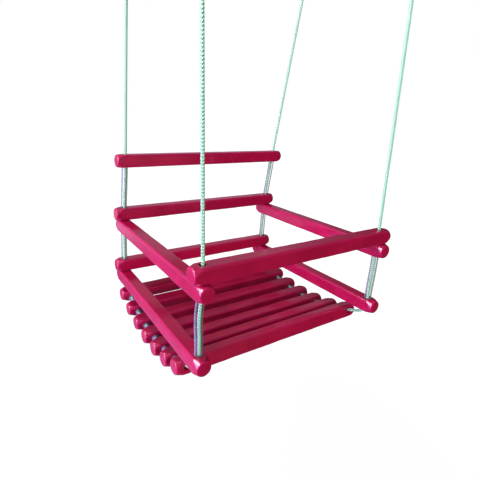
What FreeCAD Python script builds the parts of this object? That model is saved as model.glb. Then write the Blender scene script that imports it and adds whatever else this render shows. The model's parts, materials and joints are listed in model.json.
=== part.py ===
import FreeCAD, Part

import math
import os

import Sketcher

# A child's swing seat: round-nosed wooden bars stacked log-cabin fashion on two ropes.
# Each rope comes down through the back stack, goes forward through seven slats that hang
# below the side rails, and rises through the front stack. Clear tubes keep the bars apart.
# X runs from left to right as seen from the front, Y to the back, Z up.
# The origin is the middle of the four hanging eyes, where the hooks bear.

doc = FreeCAD.newDocument("child_swing_seat")

# Driving dimensions in millimetres, tilts in degrees, and leans in run for each unit of height
SIZES = [
    ("bar_width", 22, "side of the square section that every bar and slat has"),
    ("bar_round", 3.5, "rounding along the four long edges"),
    ("nose_radius", 10.3, "radius of the round face that a tapered bar end keeps"),
    ("nose_reach", 15, "radius that the taper reaches, outside the section's corners"),
    ("nose_length", 12.7, "length over which the taper widens that far"),
    ("hole_diameter", 9, "rope hole in a bar"),
    ("cross_spacing", 330, "left to right between the holes of a cross bar"),
    ("cross_overhang", 16, "cross bar past each hole"),
    ("side_spacing", 279, "front to back between the holes of a side bar"),
    ("front_overhang", 15.5, "side bar ahead of its front hole"),
    ("rear_overhang", 16, "side bar behind its rear hole"),
    ("slat_spacing", 336, "left to right between a slat's holes"),
    ("slat_overhang", 16.5, "slat past each hole"),
    ("slat_shift", 10, "how far the slats sit towards +X of the seat's middle"),
    ("sling_radius", 300, "radius of the curve on which the slats' middles lie"),
    ("sling_drop", 71, "lowest point of that curve below the top of the side rails"),
    ("sling_back", 16.5, "centre of that curve behind the seat's middle"),
    ("seat_tilt", 0.9, "where the middle slat stands round that curve, towards its rear"),
    ("slat_roll", 0.7, "share of the curve's own turn that a slat rolls about its ropes"),
    ("spacer_length", 16, "clear spacer between two slats"),
    ("lower_sleeve_length", 54.6, "clear tube from the lower back bar to the armrest"),
    ("upper_sleeve_length", 74.8, "height from the middle back bar to the top one"),
    ("sleeve_diameter", 11, "outside of the clear tube"),
    ("sleeve_bore", 8.5, "inside of the clear tube"),
    ("left_sleeve_bow", 2.9, "outward bow of the left front sleeve's middle point"),
    ("right_sleeve_bow", 0.9, "outward bow of the right front sleeve's middle point"),
    ("sleeve_straight", 14, "straight end of a bowed sleeve"),
    ("rope_diameter", 5, "braided rope"),
    ("front_lean", 0.053, "front ropes, run backwards for each unit of height"),
    ("rear_lean", 0.122, "rear ropes, run forwards for each unit of height"),
    ("outward_lean", 0.022, "all ropes, run outwards for each unit of height"),
    ("front_set_in", 1.2, "front ropes lie this far inside the middle of their holes"),
    ("rear_set_in", 0.75, "rear ropes lie this far inside the middle of their holes"),
    ("bearing_gap", 0.3, "clearance between a rope and the wall that rests on it"),
    ("top_bar_bend", 8, "the rope bends this far below the top back bar"),
    ("rail_bend", 3.4, "the rope bends this far below a side rail"),
    ("slat_bend", 3, "the rope bends this far ahead of the front slat"),
    ("curl_start", 8, "the rear curl starts this far behind the rear slat"),
    ("curl_reach", 12, "the rear curl's outermost point behind the rear slat"),
    ("curl_rise", 9, "that point's height over the rear slat's middle"),
    ("middle_bar_arc", 80, "radius of the rope's bend in the middle back bar"),
    ("slat_arc", 20, "radius of the rope's bend at the front slat"),
    ("rail_arc", 15, "radius of the rope's bend at a side rail's front hole"),
    ("seat_drop", 590, "top of the side rails below the hanging eyes"),
    ("eye_width", 34, "hanging eye across its rope's middle lines"),
    ("eye_length", 62, "hanging eye from its knot to its top"),
    ("strand_gap", 0.2, "between the eye's two strands where they leave the knot"),
    ("knot_radius", 7.9, "barrel of wraps that ties the eye"),
    ("knot_length", 19, "that barrel along its rope"),
    ("knot_bevel", 2, "bevel of its two rims"),
]

sheet = doc.addObject("Spreadsheet::Sheet", "sizes")
for row, (alias, value, meaning) in enumerate(SIZES, 1):
    sheet.set(f"A{row}", str(value))
    sheet.set(f"B{row}", meaning)
    sheet.setAlias(f"A{row}", alias)
doc.recompute()
size = {alias: float(sheet.get(alias)) for alias, value, meaning in SIZES}

SLATS = 7
BEND_SHARE = 0.45  # of the shorter run beside a corner, taken by the corner's arc
CURL_SHARE = 0.7  # of the way sideways from the rail's hole to the slat's, made by the curl's outermost point
EYE_SHARES = [(1.0, 0.47), (1.0, 1.0)]  # of an eye's half width and length, up one side to its top's corner
SIDES = {"left": -1, "right": 1}

# Heights and places that several pieces share, as expressions in the sheet's sizes
HALF = "(sizes.bar_width / 2)"
RAIL_MIDDLE = f"(-sizes.seat_drop - {HALF})"
LOWER_MIDDLE = f"(-sizes.seat_drop + {HALF})"
ARMREST_MIDDLE = f"({LOWER_MIDDLE} + sizes.bar_width + sizes.lower_sleeve_length)"
UPPER_MIDDLE = f"({ARMREST_MIDDLE} + sizes.bar_width)"
TOP_MIDDLE = f"({UPPER_MIDDLE} + sizes.bar_width + sizes.upper_sleeve_length)"
SEAT_MIDDLE = f"((sizes.front_lean - sizes.rear_lean) / 2 * {UPPER_MIDDLE})"
FRONT_HOLE = f"({SEAT_MIDDLE} - sizes.side_spacing / 2)"
REAR_HOLE = f"({SEAT_MIDDLE} + sizes.side_spacing / 2)"
TOP_HOLE = f"({REAR_HOLE} - sizes.rear_lean * ({TOP_MIDDLE} - {UPPER_MIDDLE}))"
SLING_Y = f"({SEAT_MIDDLE} + sizes.sling_back)"
SLING_Z = f"(-sizes.seat_drop - sizes.sling_drop + sizes.sling_radius)"
PITCH = "((sizes.bar_width + sizes.spacer_length) / sizes.sling_radius * 180 / pi)"
HALF_PITCH = f"({PITCH} / 2)"


def number(expression):
    """The value of an expression in the sheet's sizes."""
    return float(sheet.evalExpression(expression))


def slat_angle(index):
    """How far slat 1 to 7, counted from the rear, stands round the sling's curve from its lowest point."""
    steps = (SLATS + 1) // 2 - index
    return f"(sizes.seat_tilt + {steps} * {PITCH})"


def slat_roll(index):
    """How far slat index is rolled, rear edge up."""
    return f"(sizes.slat_roll * {slat_angle(index)})"


def sketch_on(body, role, name):
    """A sketch on one of the body's own origin planes."""
    sketch = body.newObject("Sketcher::SketchObject", name)
    plane = next(f for f in body.Origin.OriginFeatures if f.Role == role)
    sketch.AttachmentSupport = [(plane, "")]
    sketch.MapMode = "FlatFace"
    return sketch


def polygon(sketch, corners):
    """Closed lines through the corners, joined end to end; the first line's number is returned."""
    first = sketch.GeometryCount
    count = len(corners)
    for k, (x, y) in enumerate(corners):
        end_x, end_y = corners[(k + 1) % count]
        sketch.addGeometry(Part.LineSegment(FreeCAD.Vector(x, y, 0), FreeCAD.Vector(end_x, end_y, 0)))
    for k in range(count):
        sketch.addConstraint(Sketcher.Constraint("Coincident", first + k, 2, first + (k + 1) % count, 1))
    return first


def bound(sketch, kind, *where, expression):
    """A dimension of the sketch that follows an expression."""
    index = sketch.addConstraint(Sketcher.Constraint(kind, *where, number(expression)))
    sketch.setExpression(f"Constraints[{index}]", expression)


def section(body):
    """The bar's square section, centred on its long axis."""
    sketch = sketch_on(body, "YZ_Plane", "section")
    half = number(HALF)
    line = polygon(sketch, [(-half, -half), (half, -half), (half, half), (-half, half)])
    sketch.addConstraint(Sketcher.Constraint("Horizontal", line))
    sketch.addConstraint(Sketcher.Constraint("Vertical", line + 1))
    sketch.addConstraint(Sketcher.Constraint("Horizontal", line + 2))
    sketch.addConstraint(Sketcher.Constraint("Symmetric", line, 1, line + 2, 1, -1, 1))
    bound(sketch, "DistanceX", line, 1, line, 2, expression="sizes.bar_width")
    bound(sketch, "DistanceY", line + 1, 1, line + 1, 2, expression="sizes.bar_width")
    return sketch


def nose_cutters(body, length):
    """Two triangles in the plane through the long axis, one at each end, outside the tapered noses."""
    sketch = sketch_on(body, "XZ_Plane", "nose_cutters")
    low, high, deep = size["nose_radius"], size["nose_reach"], size["nose_length"]
    for end, inwards in ((0, deep), (number(length), -deep)):
        line = polygon(sketch, [(end, low), (end, high), (end + inwards, high)])
        sketch.addConstraint(Sketcher.Constraint("Vertical", line))
        sketch.addConstraint(Sketcher.Constraint("Horizontal", line + 1))
        bound(sketch, "DistanceY", -1, 1, line, 1, expression="sizes.nose_radius")
        bound(sketch, "DistanceY", -1, 1, line, 2, expression="sizes.nose_reach")
        if end == 0:
            sketch.addConstraint(Sketcher.Constraint("PointOnObject", line, 1, -2))
            bound(sketch, "DistanceX", line + 1, 1, line + 1, 2, expression="sizes.nose_length")
        else:
            bound(sketch, "DistanceX", -1, 1, line, 1, expression=length)
            bound(sketch, "DistanceX", line + 1, 2, line + 1, 1, expression="sizes.nose_length")
    return sketch


def rope_holes(body, length, first, last):
    """Two circles on the bar's long axis, first and last away from its two ends."""
    sketch = sketch_on(body, "XY_Plane", "rope_holes")
    for place in (f"{first}", f"({length} - {last})"):
        centre = FreeCAD.Vector(number(place), 0, 0)
        circle = sketch.addGeometry(Part.Circle(centre, FreeCAD.Vector(0, 0, 1), size["hole_diameter"] / 2))
        sketch.addConstraint(Sketcher.Constraint("PointOnObject", circle, 3, -1))
        bound(sketch, "DistanceX", -1, 1, circle, 3, expression=place)
        bound(sketch, "Diameter", circle, expression="sizes.hole_diameter")
    return sketch


def bar(label, length, first, last):
    """A wooden bar along its own X from 0 to length: rounded edges, tapered round noses, two rope holes."""
    body = doc.addObject("PartDesign::Body", label)
    pad = body.newObject("PartDesign::Pad", "bar_blank")
    pad.Profile = section(body)
    pad.setExpression("Length", length)
    doc.recompute()

    rounding = body.newObject("PartDesign::Fillet", "long_edges")
    long_edges = [
        f"Edge{k}"
        for k, edge in enumerate(pad.Shape.Edges, 1)
        if abs(edge.tangentAt(edge.FirstParameter).x) > math.cos(math.pi / 4)
    ]
    rounding.Base = (pad, long_edges)
    rounding.setExpression("Radius", "sizes.bar_round")

    noses = body.newObject("PartDesign::Groove", "noses")
    noses.Profile = nose_cutters(body, length)
    noses.ReferenceAxis = (next(f for f in body.Origin.OriginFeatures if f.Role == "X_Axis"), [""])
    noses.Angle = 360

    holes = body.newObject("PartDesign::Pocket", "holes")
    holes.Profile = rope_holes(body, length, first, last)
    holes.Type = "ThroughAll"
    holes.SideType = "Symmetric"
    body.Tip = holes
    return body


def put(item, axis, angle, **places):
    """Turns the item about an axis by an expression in degrees and puts its origin at the given expressions."""
    item.Placement = FreeCAD.Placement(FreeCAD.Vector(), FreeCAD.Rotation(axis, number(angle)))
    item.setExpression("Placement.Rotation.Angle", angle)
    for letter, expression in places.items():
        item.setExpression(f"Placement.Base.{letter}", expression)


def cross_bar(label, y, z):
    length = "(sizes.cross_spacing + 2 * sizes.cross_overhang)"
    item = bar(label, length, "sizes.cross_overhang", "sizes.cross_overhang")
    item.setExpression("Placement.Base.x", f"-{length} / 2")
    item.setExpression("Placement.Base.y", y)
    item.setExpression("Placement.Base.z", z)


def side_bar(label, side, z):
    length = "(sizes.side_spacing + sizes.front_overhang + sizes.rear_overhang)"
    item = bar(label, length, "sizes.front_overhang", "sizes.rear_overhang")
    x = f"{side} * sizes.cross_spacing / 2"
    put(item, FreeCAD.Vector(0, 0, 1), "90", x=x, y=f"{FRONT_HOLE} - sizes.front_overhang", z=z)


def slat(index):
    """A slat is a bar whose holes lie along the sling's curve."""
    length = "(sizes.slat_spacing + 2 * sizes.slat_overhang)"
    item = bar(f"seat_slat_{index}", length, "sizes.slat_overhang", "sizes.slat_overhang")
    angle = slat_angle(index)
    put(
        item,
        FreeCAD.Vector(1, 0, 0),
        f"{slat_roll(index)} + 90",
        x=f"sizes.slat_shift - {length} / 2",
        y=f"{SLING_Y} + sizes.sling_radius * sin({angle})",
        z=f"{SLING_Z} - sizes.sling_radius * cos({angle})",
    )


def clear_pad(label):
    """A body with a ring of the clear tube's section on its XY plane, and a pad of that ring."""
    body = doc.addObject("PartDesign::Body", label)
    ring = sketch_on(body, "XY_Plane", "ring")
    for diameter in ("sizes.sleeve_diameter", "sizes.sleeve_bore"):
        circle = ring.addGeometry(Part.Circle(FreeCAD.Vector(), FreeCAD.Vector(0, 0, 1), number(diameter) / 2))
        ring.addConstraint(Sketcher.Constraint("Coincident", circle, 3, -1, 1))
        bound(ring, "Diameter", circle, expression=diameter)
    pad = body.newObject("PartDesign::Pad", "tube")
    pad.Profile = ring
    return body, pad


def reach(angle, index):
    """How far a spacer that stands at the angle goes from its middle until its rim meets slat index."""
    slant = f"({angle} - {slat_roll(index)})"
    apart = f"abs(sizes.sling_radius * (sin({slat_angle(index)} - {slat_roll(index)}) - sin({slant})))"
    return f"(({apart} - {HALF} - sizes.sleeve_diameter / 2 * abs(sin({slant}))) / cos({slant}))"


def spacer(word, side, index):
    """A clear tube from slat index + 1 to slat index, cut square; a rim of each end touches its slat."""
    body, pad = clear_pad(f"{word}_spacer_{index}")
    angle = f"({slat_angle(index + 1)} + {HALF_PITCH})"
    front = reach(angle, index + 1)
    pad.setExpression("Length", f"{front} + {reach(angle, index)}")
    put(
        body,
        FreeCAD.Vector(1, 0, 0),
        f"{angle} - 90",
        x=f"sizes.slat_shift + {side} * sizes.slat_spacing / 2",
        y=f"{SLING_Y} + sizes.sling_radius * sin({angle}) - {front} * cos({angle})",
        z=f"{SLING_Z} - sizes.sling_radius * cos({angle}) - {front} * sin({angle})",
    )


def back_sleeve(label, side, bottom, height, y, lean):
    """A clear tube between two bars, cut level at both ends; it runs forwards by lean for each unit of height."""
    body, pad = clear_pad(label)
    pad.UseCustomVector = True
    pad.AlongSketchNormal = True
    pad.Direction = FreeCAD.Vector(0, -number(lean), 1)
    pad.setExpression("Direction.y", f"-{lean}")
    pad.setExpression("Length", height)
    body.setExpression("Placement.Base.x", f"{side} * sizes.cross_spacing / 2")
    body.setExpression("Placement.Base.y", y)
    body.setExpression("Placement.Base.z", bottom)


def rounded_path(points, radii=None):
    """Straight runs between the points, joined at each inner point by a tangent arc.

    An arc's radius is the one given for its point, or takes BEND_SHARE of the shorter run beside it."""
    radii = radii or {}
    edges, used, start = [], [], points[0]
    for k in range(1, len(points) - 1):
        before, corner, after = points[k - 1 : k + 2]
        back, on = before - corner, after - corner
        half_turn = (math.pi - back.getAngle(on)) / 2
        radius = radii.get(k, BEND_SHARE * min(back.Length, on.Length) / math.tan(half_turn))
        used.append(radius)
        cut = radius * math.tan(half_turn)
        first, last = corner + back.normalize() * cut, corner + on.normalize() * cut
        inwards = (back + on).normalize()
        top = corner + inwards * (radius / math.cos(half_turn) - radius)
        edges += [Part.LineSegment(start, first).toShape(), Part.Arc(first, top, last).toShape()]
        start = last
    edges.append(Part.LineSegment(start, points[-1]).toShape())
    return Part.Wire(edges), used


def tube(points, diameter, radii=None):
    """A round solid of the diameter along the rounded path through the points."""
    path, used = rounded_path(points, radii)
    run = points[1] - points[0]
    circle = Part.Wire(Part.Circle(points[0], run, diameter / 2).toShape())
    solid = path.makePipeShell([circle], True, False)
    return solid, path.Length, used


def feature(label, shape):
    item = doc.addObject("Part::Feature", label)
    item.Shape = shape
    return item


def cord(label, points, radii=None):
    """A rope along the points, with its bends and its volume printed."""
    diameter = size["rope_diameter"]
    solid, length, used = tube(points, diameter, radii)
    expected = math.pi * diameter**2 / 4 * length
    bends = ", ".join(f"{radius:.1f}" for radius in used) or "none"
    print(f"{label}: {length:.1f} mm long, volume {solid.Volume / expected:.4f} of expected, radii {bends}")
    feature(label, solid)


def front_sleeve_points(side, bow, x):
    """The middle line of a bowed front sleeve, upright where it meets the rail and the armrest."""
    y, bottom, length = number(FRONT_HOLE), -size["seat_drop"], number("sizes.lower_sleeve_length + sizes.bar_width")
    straight = size["sleeve_straight"]
    heights = [(0, 0), (0, straight), (bow, length / 2), (0, length - straight), (0, length)]
    return [FreeCAD.Vector(side * (x + out), y, bottom + up) for out, up in heights]


def front_sleeve(word, side):
    points = front_sleeve_points(side, size[f"{word}_sleeve_bow"], size["cross_spacing"] / 2)
    outside, inside = (tube(points, size[name])[0] for name in ("sleeve_diameter", "sleeve_bore"))
    feature(f"{word}_front_sleeve", outside.cut(inside))


def rope_line(side, rear):
    """The middle of the rope in its topmost bar, and how the free rope runs from there for each unit of height."""
    if rear:
        x, y, z = size["cross_spacing"] / 2 - size["rear_set_in"], number(TOP_HOLE), number(TOP_MIDDLE)
        lean = -size["rear_lean"]
    else:
        x, y, z = size["cross_spacing"] / 2 - size["front_set_in"], number(FRONT_HOLE), number(UPPER_MIDDLE)
        lean = size["front_lean"]
    return FreeCAD.Vector(side * x, y, z), FreeCAD.Vector(side * size["outward_lean"], lean, 1)


def sling_rope(word, side):
    """One rope from the top back bar down, forward under the slats and up to the front safety bar."""
    half = size["bar_width"] / 2
    slant = max(abs(number(f"{slat_angle(index)} - {slat_roll(index)}")) for index in (1, SLATS))
    room = (size["hole_diameter"] - size["rope_diameter"]) / 2 - half * math.tan(math.radians(slant))
    rise = room - size["bearing_gap"]
    rear_start, rear_run = rope_line(side, True)
    front_start, front_run = rope_line(side, False)
    rear_x, front_x = rear_start.x, front_start.x
    slat_x = size["slat_shift"] + side * size["slat_spacing"] / 2
    rear_y, front_y = number(REAR_HOLE), number(FRONT_HOLE)
    sling_y, sling_z = number(SLING_Y), number(SLING_Z)
    rail_bottom = -size["seat_drop"] - size["bar_width"]

    def on_sling(angle, out, up, x):
        """A point that lies out behind and up inside the sling's curve where it has turned by the angle."""
        turn = math.radians(angle)
        radius = size["sling_radius"] - up
        y = sling_y + radius * math.sin(turn) + out * math.cos(turn)
        return FreeCAD.Vector(x, y, sling_z - radius * math.cos(turn) + out * math.sin(turn))

    first, last = number(slat_angle(1)), number(slat_angle(SLATS))
    half_pitch = number(PITCH) / 2
    corner_radius = (size["sling_radius"] - rise) / math.cos(math.radians(half_pitch))
    corner_up = size["sling_radius"] - corner_radius
    curl_x = rear_x + CURL_SHARE * (slat_x - rear_x)

    points = [rear_start, rear_start - rear_run * (half + size["top_bar_bend"])]
    points.append(FreeCAD.Vector(rear_x, rear_y, number(UPPER_MIDDLE)))
    middle_bar = len(points) - 1
    points.append(FreeCAD.Vector(rear_x, rear_y, rail_bottom - size["rail_bend"]))
    points.append(on_sling(first, half + size["curl_reach"], size["curl_rise"], curl_x))
    points.append(on_sling(first, half + size["curl_start"], rise, slat_x))
    for index in range(1, SLATS):
        points.append(on_sling(number(slat_angle(index)) - half_pitch, 0, corner_up, slat_x))
    points.append(on_sling(last, -half - size["slat_bend"], rise, slat_x))
    slat_front = len(points) - 1
    points.append(FreeCAD.Vector(front_x, front_y, rail_bottom - size["rail_bend"]))
    rail_front = len(points) - 1
    points += front_sleeve_points(side, size[f"{word}_sleeve_bow"], abs(front_x))[1:-1]
    points.append(front_start - front_run * half)
    points.append(front_start)
    arcs = {middle_bar: size["middle_bar_arc"], slat_front: size["slat_arc"], rail_front: size["rail_arc"]}
    cord(f"{word}_sling_rope", points, arcs)


def eye_knot(label, top, run):
    """A rope's end: a knot, plain like a barrel, and an eye that a hook bears on at the point top."""
    rope, length = size["rope_diameter"], size["knot_length"]
    half, tall = size["eye_width"] / 2, size["eye_length"] + rope / 2
    leg = (rope + size["strand_gap"]) / 2
    knot = Part.makeCylinder(size["knot_radius"], length)
    rims = [edge for edge in knot.Edges if isinstance(edge.Curve, Part.Circle)]
    knot = knot.makeChamfer(size["knot_bevel"], rims)
    outline = [(leg, length / 2), (leg, length + rope)]
    outline += [(across * half, length + up * tall) for across, up in EYE_SHARES]
    right = [FreeCAD.Vector(across, 0, up) for across, up in outline]
    left = [FreeCAD.Vector(-point.x, 0, point.z) for point in reversed(right)]
    loop, round_eye, used = tube(right + left, rope)
    print(f"{label}: {round_eye:.1f} mm round the eye, radii {', '.join(f'{radius:.1f}' for radius in used)}")
    shape = knot.fuse(loop).removeSplitter()
    upright = FreeCAD.Rotation(FreeCAD.Vector(0, 0, 1), run)
    foot = top - upright.multVec(FreeCAD.Vector(0, 0, length + size["eye_length"]))
    shape.Placement = FreeCAD.Placement(foot, upright)
    feature(label, shape)
    return foot


def free_rope(word, side, place):
    """A taut rope from the middle of its topmost bar to the knot of its eye."""
    start, run = rope_line(side, place == "rear")
    foot = eye_knot(f"{word}_{place}_eye", start - run * start.z, run)
    cord(f"{word}_{place}_rope", [start, foot])


cross_bar("top_back_bar", TOP_HOLE, TOP_MIDDLE)
cross_bar("middle_back_bar", REAR_HOLE, UPPER_MIDDLE)
cross_bar("lower_back_bar", REAR_HOLE, LOWER_MIDDLE)
cross_bar("front_safety_bar", FRONT_HOLE, UPPER_MIDDLE)
for index in range(1, SLATS + 1):
    slat(index)
for word, side in SIDES.items():
    side_bar(f"{word}_armrest", side, ARMREST_MIDDLE)
    side_bar(f"{word}_seat_rail", side, RAIL_MIDDLE)
    above_lower = f"{LOWER_MIDDLE} + {HALF}"
    above_middle = f"{UPPER_MIDDLE} + {HALF}"
    leant_forward = f"{REAR_HOLE} - sizes.rear_lean * {HALF}"
    back_sleeve(f"{word}_lower_back_sleeve", side, above_lower, "sizes.lower_sleeve_length", REAR_HOLE, "0")
    back_sleeve(
        f"{word}_upper_back_sleeve", side, above_middle, "sizes.upper_sleeve_length", leant_forward, "sizes.rear_lean"
    )
    front_sleeve(word, side)
    for index in range(1, SLATS):
        spacer(word, side, index)
    sling_rope(word, side)
    for place in ("front", "rear"):
        free_rope(word, side, place)

doc.recompute()

NODES = ["top_back_bar", "middle_back_bar", "lower_back_bar", "front_safety_bar"]
NODES += [f"seat_slat_{index}" for index in range(1, SLATS + 1)]
for word in SIDES:
    NODES += [f"{word}_{rest}" for rest in ("armrest", "seat_rail", "front_sleeve", "sling_rope")]
    NODES += [f"{word}_{rest}_back_sleeve" for rest in ("lower", "upper")]
    NODES += [f"{word}_spacer_{index}" for index in range(1, SLATS)]
    NODES += [f"{word}_{place}_{rest}" for place in ("front", "rear") for rest in ("rope", "eye")]

failed = [item.Label for item in doc.Objects if {"Invalid", "Error"} & set(item.State)]
if failed:
    raise RuntimeError(f"these objects failed: {failed}")
shapes = {}
for name in NODES:
    shapes[name] = doc.getObjectsByLabel(name)[0].Shape
    if shapes[name].isNull() or not shapes[name].isValid():
        raise RuntimeError(f"{name} has no valid shape")

os.makedirs("parts", exist_ok=True)
for name, shape in shapes.items():
    shape.exportStep(f"parts/{name}.step")
print(f"{len(shapes)} nodes written")
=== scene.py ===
import json
import math

import bpy
import numpy as np
from mathutils import Matrix, Vector

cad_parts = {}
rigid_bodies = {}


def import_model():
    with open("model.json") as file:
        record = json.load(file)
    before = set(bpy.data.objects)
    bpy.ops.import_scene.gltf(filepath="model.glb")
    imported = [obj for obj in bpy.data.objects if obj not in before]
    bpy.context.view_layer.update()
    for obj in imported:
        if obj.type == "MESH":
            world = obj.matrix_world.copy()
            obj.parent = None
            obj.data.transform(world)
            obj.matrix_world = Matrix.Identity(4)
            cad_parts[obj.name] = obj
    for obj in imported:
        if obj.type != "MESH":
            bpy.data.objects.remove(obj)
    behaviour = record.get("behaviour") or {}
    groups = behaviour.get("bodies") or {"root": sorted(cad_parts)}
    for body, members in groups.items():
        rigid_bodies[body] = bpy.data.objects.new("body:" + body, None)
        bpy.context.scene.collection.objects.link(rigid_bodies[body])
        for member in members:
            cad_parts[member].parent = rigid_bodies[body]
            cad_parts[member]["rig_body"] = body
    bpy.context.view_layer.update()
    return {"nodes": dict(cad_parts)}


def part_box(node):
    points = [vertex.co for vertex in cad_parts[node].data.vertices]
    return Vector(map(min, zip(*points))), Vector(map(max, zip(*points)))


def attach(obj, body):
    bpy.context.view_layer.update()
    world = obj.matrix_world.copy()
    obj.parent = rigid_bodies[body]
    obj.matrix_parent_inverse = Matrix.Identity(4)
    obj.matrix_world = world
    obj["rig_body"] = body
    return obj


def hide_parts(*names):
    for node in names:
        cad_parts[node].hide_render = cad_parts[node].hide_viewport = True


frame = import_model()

print("swing seat loaded:", len(frame["nodes"]), "nodes")


# A wooden swing seat hangs on two braided ropes. All lengths are in metres.
def middleOf(node):
    low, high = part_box(node)
    return np.array((low + high) / 2)


def unit(vectors):
    return vectors / np.linalg.norm(vectors, axis=-1, keepdims=True)


sideways = np.array([1.0, 0, 0])


def dress(piece, node, material):
    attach(piece, frame["nodes"][node]["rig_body"])
    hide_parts(node)
    piece.data.materials.append(material)
    return piece


# The quads between neighbouring rows of a grid whose columns close into a ring
def ringFaces(rows, columns, closed):
    row = np.arange(rows if closed else rows - 1)[:, None]
    column = np.arange(columns)[None, :]
    after, beside = (row + 1) % rows, (column + 1) % columns
    corners = [row * columns + column, row * columns + beside, after * columns + beside, after * columns + column]
    return np.stack(corners, axis=-1).reshape(-1, 4)


# One piece from rings of points; open ends are closed by a face, and a value pair per point becomes its UV map
def ringPiece(name, rings, closed=False, pairs=None):
    rows, columns = rings.shape[:2]
    faces = ringFaces(rows, columns, closed).tolist()
    if not closed:
        faces += [list(range(columns))[::-1], list(range((rows - 1) * columns, rows * columns))]
    mesh = bpy.data.meshes.new(name)
    mesh.from_pydata(rings.reshape(-1, 3).tolist(), [], faces)
    mesh.polygons.foreach_set("use_smooth", np.ones(len(faces), bool))
    if pairs is not None:
        corner = np.empty(len(mesh.loops), np.int32)
        mesh.loops.foreach_get("vertex_index", corner)
        layer = mesh.uv_layers.new(name="strand")
        layer.uv.foreach_set("vector", pairs.reshape(-1, 2)[corner].ravel().astype(np.float32))
    piece = bpy.data.objects.new(name, mesh)
    bpy.context.scene.collection.objects.link(piece)
    return piece


# Rings of the given radii about a line, each point the line's plus the radius times the cosine of its angle sideways
# and the sine square to that. A ring stands square to the line, or to another direction where one is given.
def ringsAbout(line, side, radii, angles, along=None):
    if along is None:
        along = unit(np.gradient(line, axis=0))
    first = unit(side - np.sum(side * along, axis=-1, keepdims=True) * along)
    second = np.cross(along, first)
    turn = angles[None, :, None]
    out = np.cos(turn) * first[:, None] + np.sin(turn) * second[:, None]
    return line[:, None] + radii[..., None] * out


cameraSet = {
    "place": (-0.3674, -0.44888, -0.3014),
    "forward": (0.48024, 0.83581, -0.26607),
    "right": (0.8711, -0.4898, 0.0357),
    "lens": 26.9,
    "shift": (0.0977, -0.0573),
    "nearest": 0.01,
}


def makeCamera():
    forward = Vector(cameraSet["forward"]).normalized()
    right = Vector(cameraSet["right"])
    right = (right - right.dot(forward) * forward).normalized()
    turned = Matrix((right, right.cross(forward), -forward)).transposed()
    data = bpy.data.cameras.new("camera")
    data.lens = cameraSet["lens"]
    data.shift_x, data.shift_y = cameraSet["shift"]
    data.clip_start = cameraSet["nearest"]
    camera = bpy.data.objects.new("camera", data)
    camera.matrix_world = Matrix.Translation(cameraSet["place"]) @ turned.to_4x4()
    bpy.context.scene.collection.objects.link(camera)
    bpy.context.scene.camera = camera


makeCamera()
print("camera placed")

# What the frame says about the seat
topBar, middleBar, lowerBar = (middleOf(f"{word}_back_bar") for word in ("top", "middle", "lower"))
safetyBar = middleOf("front_safety_bar")
railLow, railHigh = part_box("left_seat_rail")
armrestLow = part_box("left_armrest")[0]
barHalf = (railHigh.z - railLow.z) / 2
holeX = abs(middleOf("left_lower_back_sleeve")[0])
frontY, rearY = safetyBar[1], middleBar[1]
slatMiddles = np.array([middleOf(f"seat_slat_{index}") for index in range(1, 8)])
slatHoleX = [middleOf(f"{word}_spacer_1")[0] for word in ("left", "right")]


# The circle through the first, fourth and last slat's middle lies as far from each: two linear equations
def slingCircle():
    first, second, third = slatMiddles[[0, 3, 6]][:, 1:]
    differences = 2 * np.array([second - first, third - first])
    squares = np.array([second @ second - first @ first, third @ third - first @ first])
    centre = np.linalg.solve(differences, squares)
    return centre, np.linalg.norm(first - centre)


slingCentre, slingRadius = slingCircle()
slatAngles = np.arctan2(slatMiddles[:, 1] - slingCentre[0], slingCentre[1] - slatMiddles[:, 2])
slatPitch = (slatAngles[0] - slatAngles[-1]) / (len(slatAngles) - 1)
rollShare = 0.7  # a slat hangs more level than the curve runs there
slatRolls = rollShare * slatAngles

ropeSet = {
    "diameter": 0.005,
    "strands": 4,  # each way round the rope
    "layLength": 0.0156,  # one turn of a strand
    "crown": 0.00065,  # a strand's middle above its edges
    "lift": 0.00025,  # the strand on top above the one beneath
    "swell": 0.0001,  # the crowns stand out past the rope's size by this
    "favour": 0.00018,  # the strands of one way stand prouder by this and show more
    "step": 0.0005,
    "around": 40,
    "smoothness": 24,  # of the line that a route's spline is read back as
    "frontLean": 0.053,  # backwards, for each metre up
    "rearLean": -0.122,
    "outLean": 0.022,
    "frontSetIn": 0.0012,  # from the middle of a bar's hole to the middle of the seat
    "rearSetIn": 0.00075,
    "rise": 0.00039,  # above the middle of the slats' holes
    "topBend": 0.008,  # below the top back bar
    "railBend": 0.0034,  # below a rail
    "slatBend": 0.003,  # before the front slat
    "curlStart": 0.008,  # behind the rear slat
    "curlReach": 0.012,  # behind it, where the curl turns up
    "curlRise": 0.009,
    "curlShare": 0.7,  # of the way sideways that the rope has gone there
    "bows": {"left": 0.0029, "right": 0.0009},
    "outInSleeve": {"left": 0, "right": 0.0011},  # how far the rope moves outwards inside its front sleeve
    "straight": 0.014,  # upright end of a bowed sleeve
    "anchor": 0.03,  # from an end of a taut rope to its next point
    "knotLength": 0.019,
    "eyeLength": 0.062,
}


# Rope on the sling's circle where it has turned by the angle, so far behind and above the circle
def onSling(x, angle, back, up):
    radius = slingRadius - up
    y = slingCentre[0] + radius * math.sin(angle) + back * math.cos(angle)
    return np.array([x, y, slingCentre[1] - radius * math.cos(angle) + back * math.sin(angle)])


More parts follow.
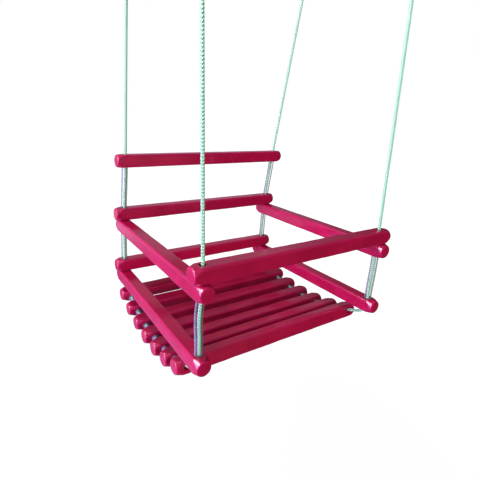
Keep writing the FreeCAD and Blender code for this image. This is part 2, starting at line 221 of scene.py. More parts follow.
# A free rope's start in its topmost bar, its direction, and the foot of its knot
def freeRope(side, place):
    bar, setIn, lean = {
        "front": (safetyBar, ropeSet["frontSetIn"], ropeSet["frontLean"]),
        "rear": (topBar, ropeSet["rearSetIn"], ropeSet["rearLean"]),
    }[place]
    start = np.array([side * (holeX - setIn), bar[1], bar[2]])
    run = np.array([side * ropeSet["outLean"], lean, 1])
    foot = start - run * start[2] - unit(run) * (ropeSet["knotLength"] + ropeSet["eyeLength"])
    return start, unit(run), foot


def frontSleeveRoute(side, word, x):
    length = armrestLow.z - railHigh.z + 2 * barHalf
    straight, bow = ropeSet["straight"], ropeSet["bows"][word]
    places = [(0, 0), (0, straight), (bow, length / 2), (0, length - straight), (0, length)]
    return [np.array([side * (x + out), frontY, railHigh.z + up]) for out, up in places]


# The whole rope of one side, from the rear knot down, forward under the slats and up to the front knot
def ropeRoute(side, word, slatX):
    rise = ropeSet["rise"]
    rearStart, rearRun, rearFoot = freeRope(side, "rear")
    frontStart, frontRun, frontFoot = freeRope(side, "front")
    rearX, frontX = rearStart[0], frontStart[0]
    halfPitch = slatPitch / 2
    cornerUp = slingRadius - (slingRadius - rise) / math.cos(halfPitch)
    curlX = rearX + ropeSet["curlShare"] * (slatX - rearX)
    railBend = railLow.z - ropeSet["railBend"]
    anchor = ropeSet["anchor"]
    points = [rearFoot, rearFoot - rearRun * anchor, rearStart + rearRun * anchor]
    points += [rearStart - rearRun / rearRun[2] * (barHalf + ropeSet["topBend"])]
    points += [np.array([rearX, rearY, middleBar[2]]), np.array([rearX, rearY, railBend])]
    points += [onSling(curlX, slatAngles[0], barHalf + ropeSet["curlReach"], ropeSet["curlRise"])]
    points += [onSling(slatX, slatAngles[0], barHalf + ropeSet["curlStart"], rise)]
    points += [onSling(slatX, angle - halfPitch, 0, cornerUp) for angle in slatAngles[:-1]]
    points += [onSling(slatX, slatAngles[-1], -barHalf - ropeSet["slatBend"], rise)]
    points += [np.array([frontX, frontY, railBend])]
    points += frontSleeveRoute(side, word, abs(frontX) + ropeSet["outInSleeve"][word])[1:-1]
    points += [frontStart - frontRun / frontRun[2] * barHalf, frontStart + frontRun * anchor]
    points += [frontFoot - frontRun * anchor, frontFoot]
    return points


# A NURBS spline of order 3 with the points as its control points, read back as a fine line
def splineLine(name, points):
    curve = bpy.data.curves.new(name, "CURVE")
    curve.dimensions = "3D"
    curve.resolution_u = ropeSet["smoothness"]
    spline = curve.splines.new("NURBS")
    spline.points.add(len(points) - 1)
    spline.points.foreach_set("co", np.column_stack([points, np.ones(len(points))]).ravel())
    spline.order_u = 3
    spline.use_endpoint_u = True
    holder = bpy.data.objects.new(name, curve)
    bpy.context.scene.collection.objects.link(holder)
    mesh = bpy.data.meshes.new_from_object(holder)
    line = np.empty(len(mesh.vertices) * 3)
    mesh.vertices.foreach_get("co", line)
    bpy.data.objects.remove(holder)
    bpy.data.meshes.remove(mesh)
    return line.reshape(-1, 3)


# The line's points at the given distances along it
def pointsAt(line, distances):
    runs = np.linalg.norm(np.diff(line, axis=0), axis=1)
    reached = np.concatenate([[0], np.cumsum(runs)])
    return np.column_stack([np.interp(distances, reached, line[:, k]) for k in range(3)])


def lengthOf(line):
    return float(np.linalg.norm(np.diff(line, axis=0), axis=1).sum())


# Strands wind round the rope in two families, one each way. Counting strands round the rope and along it, a strand's
# crown is a parabola across it, and a product of two sines lifts each family over the other in every second crossing.
# The higher family shows, and its place across the strand, with 1 added for the second family, and its place along it
# are what the material reads.
def braid(distances, angles):
    strands = ropeSet["strands"]
    turn, climb = angles[None, :] / (2 * math.pi), distances[:, None] / ropeSet["layLength"]
    families = strands * (turn + climb), strands * (turn - climb)
    lift = ropeSet["lift"] * np.sin(math.pi * families[0]) * np.sin(math.pi * families[1])
    crowns = [ropeSet["crown"] * (1 - (2 * (count % 1) - 1) ** 2) for count in families]
    heights = crowns[0] + lift - ropeSet["favour"], crowns[1] - lift
    rising = heights[0] > heights[1]
    relief = np.where(rising, *heights)
    across = np.where(rising, families[0] % 1, 1 + families[1] % 1)
    alongStrand = np.broadcast_to(distances[:, None] / ropeSet["layLength"], across.shape)
    lowest = ropeSet["diameter"] / 2 + ropeSet["swell"] - ropeSet["crown"] - ropeSet["lift"]
    return lowest + relief, np.stack([across, alongStrand], axis=-1)


def evenly(length, step):
    return np.linspace(0, length, max(2, round(length / step)))


# A length of braided rope about a line; start is the distance that its braid has already run
def ropePiece(name, line, side, start=0.0, shrink=None):
    angles = np.linspace(0, 2 * math.pi, ropeSet["around"], endpoint=False)
    distances = start + evenly(lengthOf(line), ropeSet["step"])
    radii, pairs = braid(distances, angles)
    if shrink is not None:
        radii = radii * shrink(distances - start)[:, None]
    return ringPiece(name, ringsAbout(pointsAt(line, distances - start), side, radii, angles), pairs=pairs)


eyeSet = {
    "width": 0.034,
    "strandGap": 0.0002,
    "shares": [(1.0, 0.47), (1.0, 0.846), (0.414, 1.0)],  # of half the width and of the height, up one side
    "parting": 0.5,  # of the knot's length, where the two strands lie side by side
    "endShare": 0.8,  # of half the strands' distance, and the height, where the loop's end stops in the knot
    "endHeight": 0.001,
    "turns": 3,
    "pitch": 0.0053,
    "wide": 0.0076,  # half the wraps across the two strands
    "deep": 0.0053,
    "lowest": 0.0016,
    "narrowest": 0.3,  # share of the ellipse at which the first wrap starts, out of sight
    "wrapPoints": 240,
    "tail": 0.011,
    "tailSteps": 23,
    "flare": 0.35,  # of the tail's length, how far it stands off
    "melted": 0.0022,
    "tip": 0.995,  # of the melted end's length, where its dome is cut flat
}


# Three wraps round the eye's two strands: an ellipse that climbs, then a short tail that leaves it
def wrapLine():
    tailSteps, quarter = eyeSet["tailSteps"], 0.5 * math.pi
    angle = np.linspace(-quarter, 2 * math.pi * eyeSet["turns"], eyeSet["wrapPoints"])
    opening = np.clip((angle + quarter) / quarter, eyeSet["narrowest"], 1)
    height = eyeSet["lowest"] + eyeSet["pitch"] * angle / (2 * math.pi)
    wraps = np.column_stack([
        eyeSet["wide"] * opening * np.cos(angle),
        eyeSet["deep"] * opening * np.sin(angle),
        height,
    ])
    leaving = unit(wraps[-1] - wraps[-2])
    share = np.linspace(0, 1, tailSteps + 1)[1:, None]
    turned = unit(leaving * (1 - share) + np.array([eyeSet["flare"], 0, 1]) * share)
    return np.concatenate([wraps, wraps[-1] + np.cumsum(turned * eyeSet["tail"] / tailSteps, axis=0)])


# The eye's loop in its own plane, up from the knot's foot, round the hook's seat and back into the knot
def eyeRoute():
    knot, rope = ropeSet["knotLength"], ropeSet["diameter"]
    half, tall = eyeSet["width"] / 2, ropeSet["eyeLength"] + rope / 2
    leg = (rope + eyeSet["strandGap"]) / 2
    up = [(leg, knot * eyeSet["parting"]), (leg, knot + rope)]
    up += [(across * half, knot + high * tall) for across, high in eyeSet["shares"]]
    down = [(-across, high) for across, high in reversed(up)]
    route = [(0, 0)] + up + down + [(-leg * eyeSet["endShare"], eyeSet["endHeight"])]
    return [np.array([across, 0, high]) for across, high in route]


def hangingEye(name, foot, run):
    leaning = Vector((0, 0, 1)).rotation_difference(Vector(run)).to_matrix()
    loop = splineLine(name, eyeRoute())
    wraps = wrapLine()
    wrapLength = lengthOf(wraps)

    def melted(distance):  # the cut end is melted into a dome
        beyond = np.clip((distance - wrapLength + eyeSet["melted"]) / eyeSet["melted"], 0, eyeSet["tip"])
        return np.sqrt(1 - beyond**2)

    loopPiece = ropePiece(name, loop, np.array([0, 1, 0]))
    radial = unit(pointsAt(wraps, evenly(wrapLength, ropeSet["step"])) * np.array([1, 1, 0]))
    wrapPiece = ropePiece(f"{name}_wraps", wraps, radial, shrink=melted)
    with bpy.context.temp_override(active_object=loopPiece, selected_editable_objects=[loopPiece, wrapPiece]):
        bpy.ops.object.join()
    loopPiece.data.transform(Matrix.Translation(foot) @ leaning.to_4x4())
    return loopPiece


def makeRopes(material):
    for word, side, slatX in (("left", -1, slatHoleX[0]), ("right", 1, slatHoleX[1])):
        line = splineLine(f"{word}_route", ropeRoute(side, word, slatX))
        rearStart, _, rearFoot = freeRope(side, "rear")
        frontStart, _, frontFoot = freeRope(side, "front")
        total = lengthOf(line)
        rearEnd = np.linalg.norm(rearStart - rearFoot)
        frontEnd = total - np.linalg.norm(frontStart - frontFoot)
        for node, low, high in (
            (f"{word}_rear_rope", 0, rearEnd),
            (f"{word}_sling_rope", rearEnd, frontEnd),
            (f"{word}_front_rope", frontEnd, total),
        ):
            stretch = pointsAt(line, low + evenly(high - low, ropeSet["step"]))
            piece = ropePiece(f"{node}_braid", stretch, sideways, start=low)
            dress(piece, node, material)
            if "sling" in node:
                continue
            place = "rear" if "rear" in node else "front"
            start, run, foot = freeRope(side, place)
            eye = hangingEye(f"{word}_{place}_knotted_eye", foot, run)
            dress(eye, f"{word}_{place}_eye", material)
        print(f"{word} rope braided, {total:.3f} m from knot to knot")


# A node with its settings and its inputs' values; where a value is another node's output, the two are linked
def addNode(material, kind, inputs=None, **settings):
    node = material.node_tree.nodes.new(kind)
    for name, value in settings.items():
        setattr(node, name, value)
    for name, value in (inputs or {}).items():
        if isinstance(value, bpy.types.NodeSocket):
            material.node_tree.links.new(value, node.inputs[name])
        else:
            node.inputs[name].default_value = value
    return node


def newMaterial(name):
    material = bpy.data.materials.new(name)
    material.use_nodes = True
    return material, material.node_tree.nodes["Principled BSDF"]


def link(material, output, target):
    material.node_tree.links.new(output, target)


noiseSpread = (0.3, 0.7)  # nearly all that a noise texture gives


def noise(material, place, scale, detail):
    return addNode(material, "ShaderNodeTexNoise", {"Vector": place, "Scale": scale, "Detail": detail}).outputs["Fac"]


def scaled(material, place, scale):
    return addNode(material, "ShaderNodeMapping", {"Vector": place, "Scale": scale}).outputs[0]


def calculate(material, operation, *values):
    return addNode(material, "ShaderNodeMath", dict(enumerate(values)), operation=operation).outputs[0]


# A value carried from one range to another and held inside it
def remap(material, value, source, target=(0.0, 1.0), **settings):
    ends = {"From Min": source[0], "From Max": source[1], "To Min": target[0], "To Max": target[1]}
    return addNode(material, "ShaderNodeMapRange", {"Value": value, **ends}, **settings).outputs["Result"]


# Two colours mixed by a factor; a colour may be another node's output
def mixColours(material, factor, first, second):
    mix = addNode(material, "ShaderNodeMix", {"Factor": factor}, data_type="RGBA")
    for socket, colour in ((mix.inputs[6], first), (mix.inputs[7], second)):
        if isinstance(colour, bpy.types.NodeSocket):
            link(material, colour, socket)
        else:
            socket.default_value = colour
    return mix.outputs[2]


ropeFinish = {
    "firstFamilyShade": 0.30,  # how much nearer to the valleys' colour the first family is: painted shade, as light from one side leaves one family darker
    "crest": (0.16, (0.60, 0.98, 0.45, 1)),  # distance from a strand's middle, of its width, and the colour there
    # the valleys' dark colour is painted shade where strands dip beside each other
    "valley": (0.45, (0.03, 0.24, 0.09, 1)),
    "filaments": (16, 3, 1),  # across a strand and along it
    "fuzz": (0.86, 1.08),  # darkest and lightest filament
    "bump": 0.35,
    "bumpHeight": 0.0002,
    "roughness": 0.42,
    "sheen": 0.8,
    "sheenRoughness": 0.4,
}


def makeRopeMaterial():
    material, shader = newMaterial("mintRope")
    strand = addNode(material, "ShaderNodeUVMap", uv_map="strand")
    split = addNode(material, "ShaderNodeSeparateXYZ", {"Vector": strand.outputs["UV"]})
    # painted shade where a strand dips beside its neighbour, and the first family painted darker as the shade that
    # light from one side gives it
    place = calculate(material, "FRACT", split.outputs["X"])
    edge = calculate(material, "ABSOLUTE", calculate(material, "SUBTRACT", place, 0.5))
    first = calculate(material, "LESS_THAN", split.outputs["X"], 1.0)
    depth = calculate(material, "MULTIPLY_ADD", first, ropeFinish["firstFamilyShade"], edge)
    tone = addNode(material, "ShaderNodeValToRGB", {"Fac": depth})
    ramp = tone.color_ramp
    ramp.elements[0].position, ramp.elements[0].color = ropeFinish["crest"]
    ramp.elements[1].position, ramp.elements[1].color = ropeFinish["valley"]
    filaments = noise(material, scaled(material, strand.outputs["UV"], ropeFinish["filaments"]), scale=1.0, detail=3.0)
    fuzz = remap(material, filaments, noiseSpread, ropeFinish["fuzz"])
    shade = addNode(material, "ShaderNodeVectorMath", {0: tone.outputs["Color"], "Scale": fuzz}, operation="SCALE")
    bump = addNode(material, "ShaderNodeBump", {"Height": filaments, "Strength": ropeFinish["bump"],
                                                "Distance": ropeFinish["bumpHeight"]})
    link(material, shade.outputs["Vector"], shader.inputs["Base Color"])
    link(material, bump.outputs["Normal"], shader.inputs["Normal"])
    shader.inputs["Roughness"].default_value = ropeFinish["roughness"]
    shader.inputs["Sheen Weight"].default_value = ropeFinish["sheen"]
    shader.inputs["Sheen Roughness"].default_value = ropeFinish["sheenRoughness"]
    return material


ropeMaterial = makeRopeMaterial()
makeRopes(ropeMaterial)

tubeSet = {
    "outside": 0.0055,
    "bore": 0.00425,
    "rim": 0.0004,  # rounding of a cut end
    "around": 48,
    "step": 0.002,
    "fewest": 8,  # rings along a short tube
    "rimSteps": 9,
    "reading": 0.0005,  # half the length on which a tube's direction is read
    "oval": 0.012,  # share by which a tube's section is out of round
    "ovalTurn": 30,  # for each metre along it
}


# A clear tube's wall: out along the outside, round the cut end, back along the bore and round the other end. Each ring
# has a distance along the line and a radius, and an ovalness that turns slowly on the way. A tube whose ends are cut
# level on a slant has level rings.
def clearTube(name, line, level):
    length, rim = lengthOf(line), tubeSet["rim"]
    outside, bore = tubeSet["outside"], tubeSet["bore"]
    straight = np.linspace(rim, length - rim, max(tubeSet["fewest"], round(length / tubeSet["step"])))
    bend = np.linspace(0, math.pi, tubeSet["rimSteps"])[1:-1]
    middle, half = (outside + bore) / 2, (outside - bore) / 2
    distances = np.concatenate([
        straight, length - rim + rim * np.sin(bend), straight[::-1], rim - rim * np.sin(bend),
    ])
    radii = np.concatenate([
        np.full(len(straight), outside), middle + half * np.cos(bend),
        np.full(len(straight), bore), middle - half * np.cos(bend),
    ])
    angles = np.linspace(0, 2 * math.pi, tubeSet["around"], endpoint=False)
    before = pointsAt(line, np.clip(distances - tubeSet["reading"], 0, length))
    after = pointsAt(line, np.clip(distances + tubeSet["reading"], 0, length))
    along = np.array([[0.0, 0, 1]]) if level else unit(after - before)
    oval = 1 + tubeSet["oval"] * np.cos(2 * angles[None, :] + distances[:, None] * tubeSet["ovalTurn"])
    rings = ringsAbout(pointsAt(line, distances), sideways, radii[:, None] * oval, angles, along)
    piece = ringPiece(name, rings, closed=True)
    inside = piece.data.attributes.new("bore", "FLOAT", "POINT")
    inside.data.foreach_set("value", np.repeat(radii < middle, len(angles)).astype(np.float32))
    return piece


# How far a spacer at the angle goes from its middle until the rim of its end meets the slat with the given number
def spacerReach(angle, index):
    slant = angle - slatRolls[index]
    apart = abs(slingRadius * (math.sin(slatAngles[index] - slatRolls[index]) - math.sin(slant)))
    return (apart - barHalf - tubeSet["outside"] * abs(math.sin(slant))) / math.cos(slant)


def makeTubes(material):
    for word, side, slatX in (("left", -1, slatHoleX[0]), ("right", 1, slatHoleX[1])):
        lines = {
            f"{word}_front_sleeve": splineLine("sleeve", frontSleeveRoute(side, word, holeX)),
            f"{word}_lower_back_sleeve": np.array([
                [side * holeX, rearY, lowerBar[2] + barHalf], [side * holeX, rearY, armrestLow.z]]),
            f"{word}_upper_back_sleeve": np.array([
                [side * holeX, rearY + ropeSet["rearLean"] * barHalf, middleBar[2] + barHalf],
                [side * holeX, topBar[1] - ropeSet["rearLean"] * barHalf, topBar[2] - barHalf]]),
        }
        for index in range(1, 7):
            angle = (slatAngles[index] + slatAngles[index - 1]) / 2
            ends = -spacerReach(angle, index), spacerReach(angle, index - 1)
            lines[f"{word}_spacer_{index}"] = np.array([onSling(slatX, angle, back, 0) for back in ends])
        for node, line in lines.items():
            piece = clearTube(f"{node}_tube", line, level="upper" in node)
            dress(piece, node, material)
    print("clear tubes made")


tubeFinish = {
    "outsideColour": (0.36, 0.31, 0.33, 1),
    # painted shade: the bore's dark colour stands in for the dark edges that a clear tube shows
    "boreShadeColour": (0.07, 0.05, 0.10, 1),
    "clearest": 0.02,  # density where the wall faces the eye
    "densest": 0.56,  # at the tube's edge
    "boreDenser": 0.12,
    "blend": 0.35,  # of the weight that rises towards the tube's edge
    "edge": (0.14, 0.40),  # the weights between which the wall grows dense
    "roughness": 0.08,
    "refraction": 1.5,
    "specular": 0.7,
}


def makeTubeMaterial():
    material, shader = newMaterial("clearTube")
    # denser on the bore, as a thick wall looks from its side, and darker there: painted shade for the dark edges of a
    # clear tube
    bore = addNode(material, "ShaderNodeAttribute", attribute_name="bore").outputs["Fac"]
    densest = calculate(material, "MULTIPLY_ADD", bore, tubeFinish["boreDenser"], tubeFinish["densest"])
    rim = addNode(material, "ShaderNodeLayerWeight", {"Blend": tubeFinish["blend"]})
    density = remap(material, rim.outputs["Facing"], tubeFinish["edge"], (tubeFinish["clearest"], densest))
    link(material, density, shader.inputs["Alpha"])
    colour = mixColours(material, bore, tubeFinish["outsideColour"], tubeFinish["boreShadeColour"])
    link(material, colour, shader.inputs["Base Color"])
    shader.inputs["Roughness"].default_value = tubeFinish["roughness"]
    shader.inputs["IOR"].default_value = tubeFinish["refraction"]
    shader.inputs["Specular IOR Level"].default_value = tubeFinish["specular"]
    return material


tubeMaterial = makeTubeMaterial()
makeTubes(tubeMaterial)

barSet = {
    "rounding": 0.0035,
    "roundingWander": 0.16,  # share by which the rounding changes along an edge
    "roundingLength": 0.09,  # longest wave of that change
    "noseRadius": 0.0103,
    "noseSlope": 0.37,
    "noseSkew": 0.00035,  # how far a nose's cone is off centre
    "rim": 0.0012,  # rounding of the end face
    "domeShares": (0.02, 0.35, 0.7, 0.92),  # the end face's rings, of its radius
    "domeHeight": 0.0003,
    "crease": 0.0003,  # paint softens the crease between a nose and a side
    "wave": 0.00006,  # height of the unevenness that planing and paint leave
    "waveLength": 0.07,
    "waves": 5,
    "noseReach": 0.012,  # rings lie closer up to here
    "noseRings": 12,
    "rimRings": 7,
    "step": 0.002,
    "faceSteps": 9,  # round a bar, on a side and on a rounded edge
    "edgeSteps": 11,
    "holeRadius": 0.0045,
    "holeRim": 0.0009,
    "holeAround": 40,
    "drillOver": (0.001, 0.0004),  # how far the drill stands out past a face, and how much wider it is there
    "edgeFade": 0.0018,  # how fast the paler share, thin paint and painted highlight, falls off from a rounded edge
    "rimFade": 0.002,  # and from the end face, along the bar and across it
    "rimWidth": 0.0022,
    "rimSoftness": 0.0012,
}


# Slow waves along a bar, different in each place round it: half a sum of sines with seeded phases, each shorter and
# lower than the one before
def wander(random, along, around, longest):
    total = np.zeros(np.broadcast(along, around).shape)
    for k in range(1, barSet["waves"] + 1):
        phase, tilt = random.uniform(0, 2 * math.pi), random.integers(-2, 3)
        total = total + np.sin(2 * math.pi * k * along / longest + tilt * around + phase) / k
    return total / 2


# A bar as rings about its long axis. On a side face the distance from the axis is the half width over the cosine of the
# angle from the face's middle, at a rounded edge it reaches the arc's far side, and at a nose it is at most the cone's.
# The lesser of two distances is taken with a soft join, and the end face closes in a shallow dome.
def barRings(length, random):
    half, crease = barHalf, barSet["crease"]
    corner = math.atan2(half - barSet["rounding"], half)
    quarter = np.concatenate([
        np.linspace(-corner, corner, barSet["faceSteps"])[:-1],
        np.linspace(corner, math.pi / 2 - corner, barSet["edgeSteps"])[:-1],
    ])
    angles = np.concatenate([quarter + k * math.pi / 2 for k in range(4)])[None, :]
    rim, noseReach = barSet["rim"], barSet["noseReach"]
    end = rim * (1 - np.cos(np.linspace(0, math.pi / 2, barSet["rimRings"])))
    nose = np.linspace(rim, noseReach, barSet["noseRings"])[1:]
    body = np.arange(noseReach + barSet["step"], length / 2, barSet["step"])
    fromEnd = np.concatenate([end, nose, body])
    along = np.concatenate([fromEnd, length - fromEnd[::-1]])[:, None]

    change = barSet["roundingWander"] * wander(random, along, angles, barSet["roundingLength"])
    rounding = barSet["rounding"] * (1 + change)
    cosine, sine = np.abs(np.cos(angles)), np.abs(np.sin(angles))
    flat = half / np.maximum(cosine, sine)
    inner = half - rounding
    arc = inner * (cosine + sine) + np.sqrt(np.maximum(rounding**2 - (inner * (cosine - sine)) ** 2, 0))
    onArc = np.minimum(cosine, sine) * flat > inner
    section = np.where(onArc, arc, flat) + barSet["wave"] * wander(random, along, angles, barSet["waveLength"])

    nearEnd = np.minimum(along, length - along)
    skew = barSet["noseSkew"] * np.cos(angles - random.uniform(0, 2 * math.pi)) * np.where(along < length / 2, 1, -1)
    cone = barSet["noseRadius"] + barSet["noseSlope"] * nearEnd + skew
    depth = np.clip(rim - nearEnd, 0, rim)
    cone = cone - rim + np.sqrt(rim**2 - depth**2)
    blend = np.clip(0.5 + (cone - section) / (2 * crease), 0, 1)
    radii = cone * (1 - blend) + section * blend - crease * blend * (1 - blend)

    shares = np.array(barSet["domeShares"])[:, None]
    radii = np.concatenate([shares * radii[:1], radii, shares[::-1] * radii[-1:]])
    dome = barSet["domeHeight"] * (1 - shares**2)
    along = np.concatenate([-dome, along, length + dome[::-1]])
    return np.stack(np.broadcast_arrays(along - length / 2, radii * np.cos(angles), radii * np.sin(angles)), axis=-1)


# What drills a rope hole: a round rod that flares where it meets the bar's two faces
def holeCutter():
    reach, rim = barHalf, barSet["holeRim"]
    beyond, wider = barSet["drillOver"]
    bend = np.linspace(0, math.pi / 2, barSet["rimRings"])
    down, out = rim * (1 - np.cos(bend)), rim * (1 - np.sin(bend))
    heights = np.concatenate([[reach + beyond], reach - down, -reach + down[::-1], [-reach - beyond]])
    wide = np.concatenate([[rim + wider], out, out[::-1], [rim + wider]])
    angles = np.linspace(0, 2 * math.pi, barSet["holeAround"], endpoint=False)
    radii = (barSet["holeRadius"] + wide)[:, None]
    rings = np.stack(np.broadcast_arrays(radii * np.cos(angles), radii * np.sin(angles), heights[:, None]), axis=-1)
    return ringPiece("holeCutter", rings[::-1])


# How near each point of a bar lies to a rounded edge or to the end face's rim, from 0 to 1
def edgeShares(points, length):
    across = np.abs(points[:, 1:])
    nearest = np.clip((across.min(axis=1) - barHalf + barSet["rounding"]) / barSet["edgeFade"], 0, 1)
    reach = np.linalg.norm(across, axis=1)
    rim = np.clip(1 - np.abs(length / 2 - np.abs(points[:, 0])) / barSet["rimFade"], 0, 1)
    rim = rim * np.clip((reach - barSet["noseRadius"] + barSet["rimWidth"]) / barSet["rimSoftness"], 0, 1)
    return np.maximum(nearest, rim)


# A bar with its rope holes drilled one by one, at their distances from its middle
def paintedBar(node, holes, place, material, seed):
    low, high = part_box(node)
    length = max(high - low)
    random = np.random.default_rng(seed)
    piece = ringPiece(f"{node}_painted", barRings(length, random))
    cutter = holeCutter()
    for hole in holes:
        rod = cutter.copy()
        rod.location = (hole, 0, 0)
        bpy.context.scene.collection.objects.link(rod)
        drill = piece.modifiers.new("ropeHole", "BOOLEAN")
        drill.operation, drill.solver, drill.object = "DIFFERENCE", "EXACT", rod
        bpy.context.view_layer.update()
        drilled = bpy.data.meshes.new_from_object(piece.evaluated_get(bpy.context.evaluated_depsgraph_get()))
        piece.modifiers.clear()
        piece.data = drilled
        bpy.data.objects.remove(rod)
    bpy.data.objects.remove(cutter)
    points = np.empty(len(piece.data.vertices) * 3)
    piece.data.vertices.foreach_get("co", points)
    edge = piece.data.attributes.new("edge", "FLOAT", "POINT")
    edge.data.foreach_set("value", edgeShares(points.reshape(-1, 3), length).astype(np.float32))
    piece.data.transform(place)
    return dress(piece, node, material)


paintSet = {
    "colour": (0.49, 0.0060, 0.049, 1),
    "deepColour": (0.40, 0.004, 0.038, 1),
    "edgeWearAndHighlight": (0.55, 0.014, 0.080, 1),
    "stroke": (22, 620),  # brush strokes for each metre along a bar and across it
    "patches": 26,  # deeper patches, orange peel and grit for each metre
    "patchSpread": (0.35, 0.7),
    "peel": 260,
    "grit": 210,
    "gritSize": 0.16,  # of the distance from one grain to the next
    "roughness": (0.15, 0.24),
    "strokeHeight": 0.45,  # against the peel's 1
    "gritHeight": 0.5,
    "bump": 0.08,
    "bumpHeight": 0.0004,
    "specular": 0.3,
    "coat": 0.2,
    "coatRoughness": 0.06,
}


# Brushed enamel: strokes along the bar, deeper patches, orange peel and a few grains of grit, paler on the edges as
# thin paint and as a painted highlight
def makePaint(name, alongAxis):
    material, shader = newMaterial(name)
    place = addNode(material, "ShaderNodeTexCoord").outputs["Object"]
    along, across = paintSet["stroke"]
    scale = [across] * 3
    scale[alongAxis] = along
    strokes = noise(material, scaled(material, place, scale), scale=1.0, detail=3.0)
    patches = noise(material, place, paintSet["patches"], detail=2.0)
    peel = noise(material, place, paintSet["peel"], detail=2.0)
    grit = addNode(material, "ShaderNodeTexVoronoi", {"Vector": place, "Scale": paintSet["grit"]})
    nibs = remap(material, grit.outputs["Distance"], (0.0, paintSet["gritSize"]), (1.0, 0.0))
    edge = addNode(material, "ShaderNodeAttribute", attribute_name="edge")

    mixed = remap(material, patches, paintSet["patchSpread"])
    tone = mixColours(material, mixed, paintSet["colour"], paintSet["deepColour"])
    # paler on rounded edges and the end face's rim: partly thin paint, partly a painted highlight
    wearAndHighlight = calculate(material, "MULTIPLY", edge.outputs["Fac"], strokes)
    colour = mixColours(material, wearAndHighlight, tone, paintSet["edgeWearAndHighlight"])
    link(material, colour, shader.inputs["Base Color"])

    rough = remap(material, strokes, noiseSpread, paintSet["roughness"])
    link(material, rough, shader.inputs["Roughness"])
    waves = calculate(material, "MULTIPLY_ADD", strokes, paintSet["strokeHeight"], peel)
    height = calculate(material, "MULTIPLY_ADD", nibs, paintSet["gritHeight"], waves)
    bump = addNode(material, "ShaderNodeBump", {"Height": height, "Strength": paintSet["bump"],
                                                "Distance": paintSet["bumpHeight"]})
    link(material, bump.outputs["Normal"], shader.inputs["Normal"])
    shader.inputs["Specular IOR Level"].default_value = paintSet["specular"]
    shader.inputs["Coat Weight"].default_value = paintSet["coat"]
    shader.inputs["Coat Roughness"].default_value = paintSet["coatRoughness"]
    return material


def makeBars():
    crossPaint, sidePaint = makePaint("crossBarPaint", 0), makePaint("sideBarPaint", 1)
    seed = 1
    for node in ("top_back_bar", "middle_back_bar", "lower_back_bar", "front_safety_bar"):
        place = Matrix.Translation(middleOf(node))
        paintedBar(node, (-holeX, holeX), place, crossPaint, seed)
        seed += 1
    for word in ("left", "right"):
        for node in (f"{word}_armrest", f"{word}_seat_rail"):
            middle = middleOf(node)
            place = Matrix.Translation(middle) @ Matrix.Rotation(math.pi / 2, 4, "Z")
            paintedBar(node, (frontY - middle[1], rearY - middle[1]), place, sidePaint, seed)
            seed += 1
    slatHole = (slatHoleX[1] - slatHoleX[0]) / 2
    for index, roll in enumerate(slatRolls, 1):
        node = f"seat_slat_{index}"
        place = Matrix.Translation(middleOf(node)) @ Matrix.Rotation(roll + math.pi / 2, 4, "X")
        paintedBar(node, (-slatHole, slatHole), place, crossPaint, seed)
        seed += 1
    print("bars and slats painted")


makeBars()

studioSet = {
    "middle": (0, 0, -0.45),  # what the lamps face
    "floorHeight": -1.05,
    "floorSize": 12,
    "floorRoughness": 0.9,
    "leftwards": (-0.7, 0.7, 0),  # from the right and ahead to the left and behind
    # the floor's colour by the distance that way: dark where the front faces mirror it
    "floorTones": [(-0.3, (0.05, 0.05, 0.05, 1)), (0.55, (0.46, 0.45, 0.55, 1)), (0.95, (0.22, 0.21, 0.28, 1)),
                   (1.4, (0.22, 0.21, 0.28, 1)), (1.7, (1, 1, 1, 1))],
    "shadowShare": 0.12,  # of the floor's look under the seat that its real light makes, the rest being plain white
    "shadowReach": (0.4, 1.2),  # where that share starts to fade, and where the floor is all white
    "whiteStrength": 1.12,  # makes up for the darker share under the seat
    "skyColour": (0.36, 0.34, 0.46, 1),  # the camera sees white instead
    "duskColour": (0.06, 0.05, 0.09, 1),  # of the sky to the right
    "rightwards": (0.94, -0.34, 0),
    "duskReach": (0.3, 0.6),  # of that direction, where the sky turns darker
}

white = (1, 1, 1, 1)

# A lamp that only makes glints, or only fills, is hidden from the other kind of ray
lampSet = {
    "windowLeft": {"place": (-2.94, -0.35, -0.24), "size": (2.1, 2.1), "power": 264, "colour": (0.48, 0.47, 1.0)},
    "highWindow": {"place": (-1.5, -0.3, 0.75), "size": (1.1, 1.1), "power": 115, "colour": (0.8, 0.9, 1),
                   "only": "glint"},
    "skylight": {"place": (-0.75, 0.75, 1.15), "size": (0.4, 0.4), "power": 11, "colour": (1, 0.96, 1)},
    "softFront": {"place": (0.5, -2.0, -0.55), "size": (1.4, 0.9), "power": 16.5, "colour": (1, 1, 0.70),
                  "only": "fill"},
    "behind": {"place": (1.1, 1.9, -0.2), "size": (1.6, 1.2), "power": 17, "colour": (1, 1, 1), "only": "fill"},
}


def makeLamps():
    middle = Vector(studioSet["middle"])
    for name, lamp in lampSet.items():
        data = bpy.data.lights.new(name, "AREA")
        data.shape = "RECTANGLE"
        data.size, data.size_y = lamp["size"]
        data.energy, data.color = lamp["power"], lamp["colour"]
        holder = bpy.data.objects.new(name, data)
        holder.location = lamp["place"]
        holder.rotation_euler = (middle - Vector(lamp["place"])).to_track_quat("-Z", "Y").to_euler()
        holder.visible_diffuse, holder.visible_glossy = lamp.get("only") != "glint", lamp.get("only") != "fill"
        bpy.context.scene.collection.objects.link(holder)


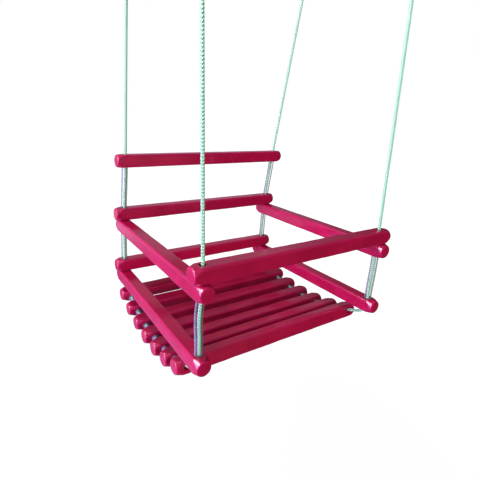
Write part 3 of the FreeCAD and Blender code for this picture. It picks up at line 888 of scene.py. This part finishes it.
# The camera sees a white floor with a faint shadow, also through a clear tube, and what the seat mirrors are its tones
def makeFloorMaterial():
    material, shader = newMaterial("paleFloor")
    place = addNode(material, "ShaderNodeTexCoord").outputs["Object"]
    leftwards = addNode(material, "ShaderNodeVectorMath", {0: place, 1: studioSet["leftwards"]},
                        operation="DOT_PRODUCT")
    tones = studioSet["floorTones"]
    nearest, farthest = tones[0][0], tones[-1][0]
    reach = remap(material, leftwards.outputs["Value"], (nearest, farthest))
    colour = addNode(material, "ShaderNodeValToRGB", {"Fac": reach})
    ramp = colour.color_ramp
    ramp.elements[0].color, ramp.elements[1].color = tones[0][1], tones[-1][1]
    for distance, tone in tones[1:-1]:
        ramp.elements.new((distance - nearest) / (farthest - nearest)).color = tone
    link(material, colour.outputs["Color"], shader.inputs["Base Color"])
    shader.inputs["Roughness"].default_value = studioSet["floorRoughness"]
    shader.inputs["Specular IOR Level"].default_value = 0

    rays = addNode(material, "ShaderNodeLightPath").outputs
    seen = calculate(material, "MAXIMUM", rays["Is Camera Ray"], rays["Is Transmission Ray"])
    flat = addNode(material, "ShaderNodeVectorMath", {0: place, 1: (1, 1, 0)}, operation="MULTIPLY")
    away = addNode(material, "ShaderNodeVectorMath", {0: flat.outputs["Vector"]}, operation="LENGTH")
    fade = remap(material, away.outputs["Value"], studioSet["shadowReach"], (1 - studioSet["shadowShare"], 1.0),
                 interpolation_type="SMOOTHSTEP")
    share = calculate(material, "MULTIPLY", seen, fade)
    plain = addNode(material, "ShaderNodeEmission", {"Color": white, "Strength": studioSet["whiteStrength"]})
    mix = addNode(material, "ShaderNodeMixShader", {"Fac": share, 1: shader.outputs["BSDF"],
                                                    2: plain.outputs["Emission"]})
    link(material, mix.outputs[0], material.node_tree.nodes["Material Output"].inputs["Surface"])
    return material


def makeFloor():
    half, height = studioSet["floorSize"] / 2, studioSet["floorHeight"]
    corners = [(x * half, y * half, height) for x, y in ((-1, -1), (1, -1), (1, 1), (-1, 1))]
    mesh = bpy.data.meshes.new("floor")
    mesh.from_pydata(corners, [], [(0, 1, 2, 3)])
    floor = bpy.data.objects.new("floor", mesh)
    bpy.context.scene.collection.objects.link(floor)
    floor.data.materials.append(makeFloorMaterial())


def makeSky():
    world = bpy.data.worlds.new("studio")
    bpy.context.scene.world = world
    world.use_nodes = True
    place = addNode(world, "ShaderNodeTexCoord")
    rightwards = addNode(world, "ShaderNodeVectorMath", {0: place.outputs["Generated"], 1: studioSet["rightwards"]},
                         operation="DOT_PRODUCT")
    dusk = remap(world, rightwards.outputs["Value"], studioSet["duskReach"])
    sky = mixColours(world, dusk, studioSet["skyColour"], studioSet["duskColour"])
    rays = addNode(world, "ShaderNodeLightPath")
    shown = mixColours(world, rays.outputs["Is Camera Ray"], sky, white)
    link(world, shown, world.node_tree.nodes["Background"].inputs["Color"])
    bpy.context.scene.view_settings.view_transform = "Standard"


makeLamps()
makeFloor()
makeSky()
print("studio lit")
